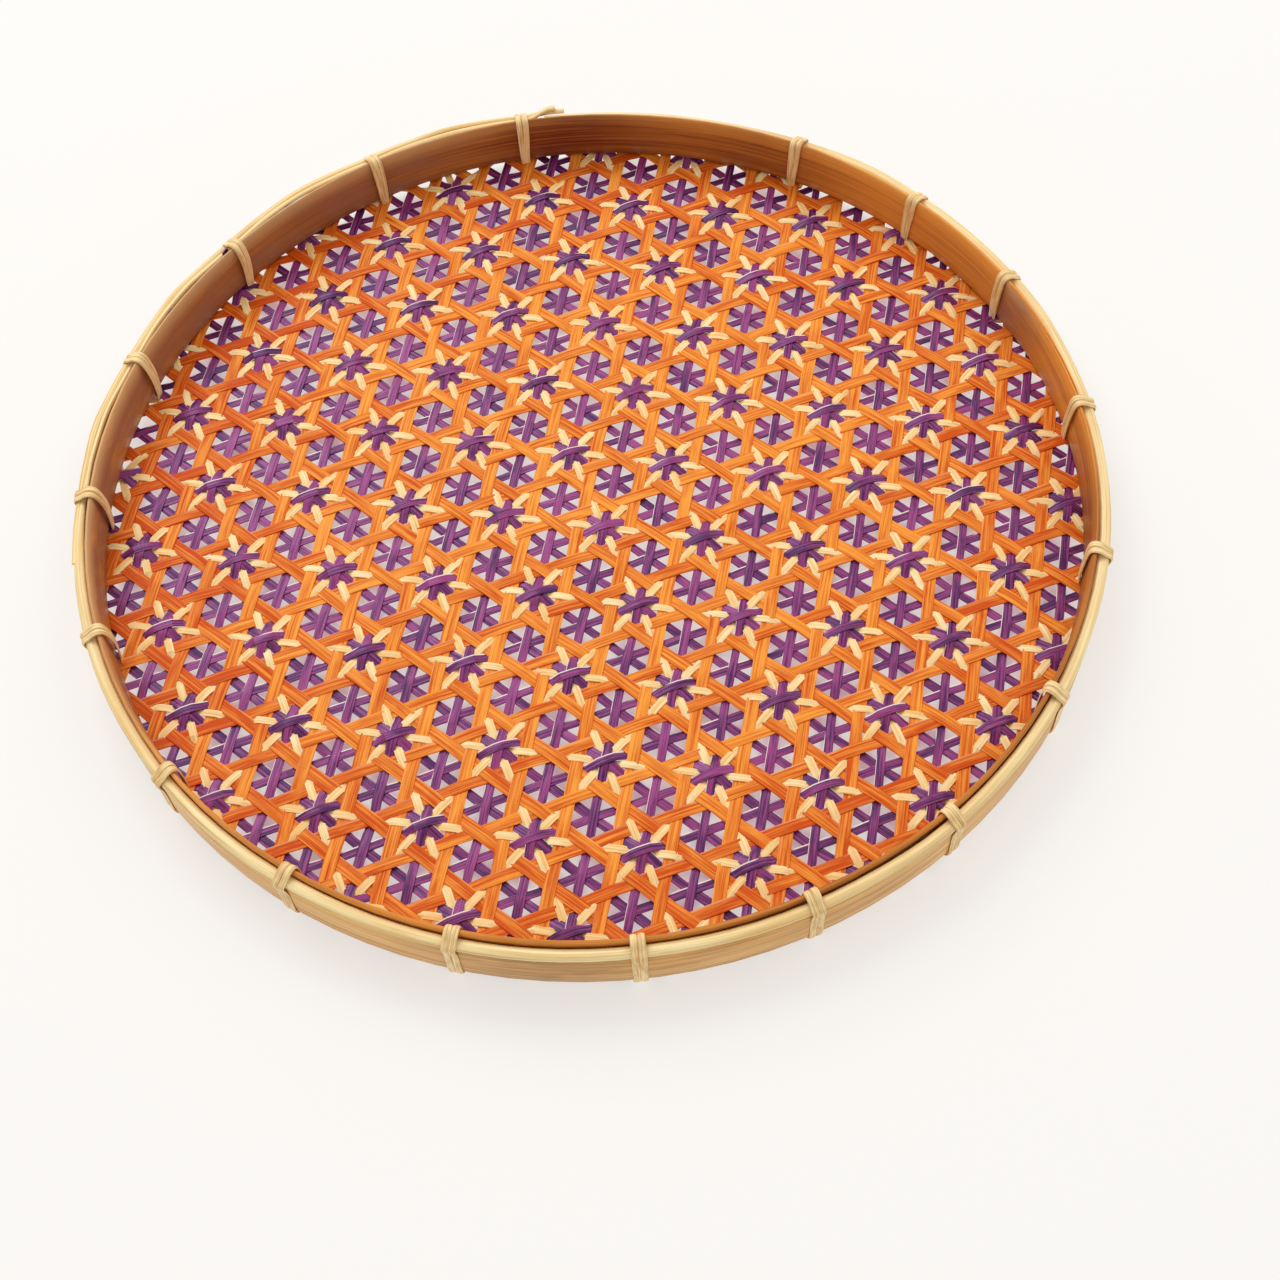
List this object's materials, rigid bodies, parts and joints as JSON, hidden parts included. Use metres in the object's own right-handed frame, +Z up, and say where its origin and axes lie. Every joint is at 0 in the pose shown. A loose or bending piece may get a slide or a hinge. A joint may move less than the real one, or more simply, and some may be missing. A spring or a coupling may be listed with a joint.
{
  "type": "winnowing basket",
  "caption": "Shallow round bamboo tray with an open hexagonal flower weave, held between two hoops with a split-cane rim and rattan lashings.",
  "frame": {"origin": "on the floor at the middle of the round tray", "axes": "+Z up out of the tray's open side; +Y along one of the three weaving directions of the open hexagons"},
  "size_m": [0.3532, 0.3531, 0.0253],
  "materials": {
    "inner_bamboo": "smooth split bamboo, warm brown, satin",
    "outer_bamboo": "smooth split bamboo, golden tan, satin",
    "rim_cane": "peeled split cane, pale yellow, satin",
    "rattan_lashing": "split rattan, pale straw, satin",
    "orange_strip": "dyed bamboo strip, orange, satin",
    "purple_strip": "dyed bamboo strip, purple, slightly glossy",
    "cream_strip": "undyed bamboo strip, cream, matt"
  },
  "bodies": {
    "root": {"inner_hoop": "inner_bamboo", "outer_hoop": "outer_bamboo", "strip_ends": "purple_strip", "rim_cane": "rim_cane", "rim_splint_inner": "rim_cane", "rim_splint_outer": "rim_cane", "purple_strips_a": "purple_strip", "purple_strips_b": "purple_strip", "purple_strips_c": "purple_strip", "orange_strips_a": "orange_strip", "orange_strips_b": "orange_strip", "orange_strips_c": "orange_strip", "cream_strips_a": "cream_strip", "cream_strips_b": "cream_strip", "cream_strips_c": "cream_strip", "lashing_01": "rattan_lashing", "lashing_02": "rattan_lashing", "lashing_03": "rattan_lashing", "lashing_04": "rattan_lashing", "lashing_05": "rattan_lashing", "lashing_06": "rattan_lashing", "lashing_07": "rattan_lashing", "lashing_08": "rattan_lashing", "lashing_09": "rattan_lashing", "lashing_10": "rattan_lashing", "lashing_11": "rattan_lashing", "lashing_12": "rattan_lashing", "lashing_13": "rattan_lashing", "lashing_14": "rattan_lashing", "lashing_15": "rattan_lashing", "lashing_16": "rattan_lashing", "lashing_17": "rattan_lashing", "lashing_18": "rattan_lashing"}
  },
  "joints": []
}
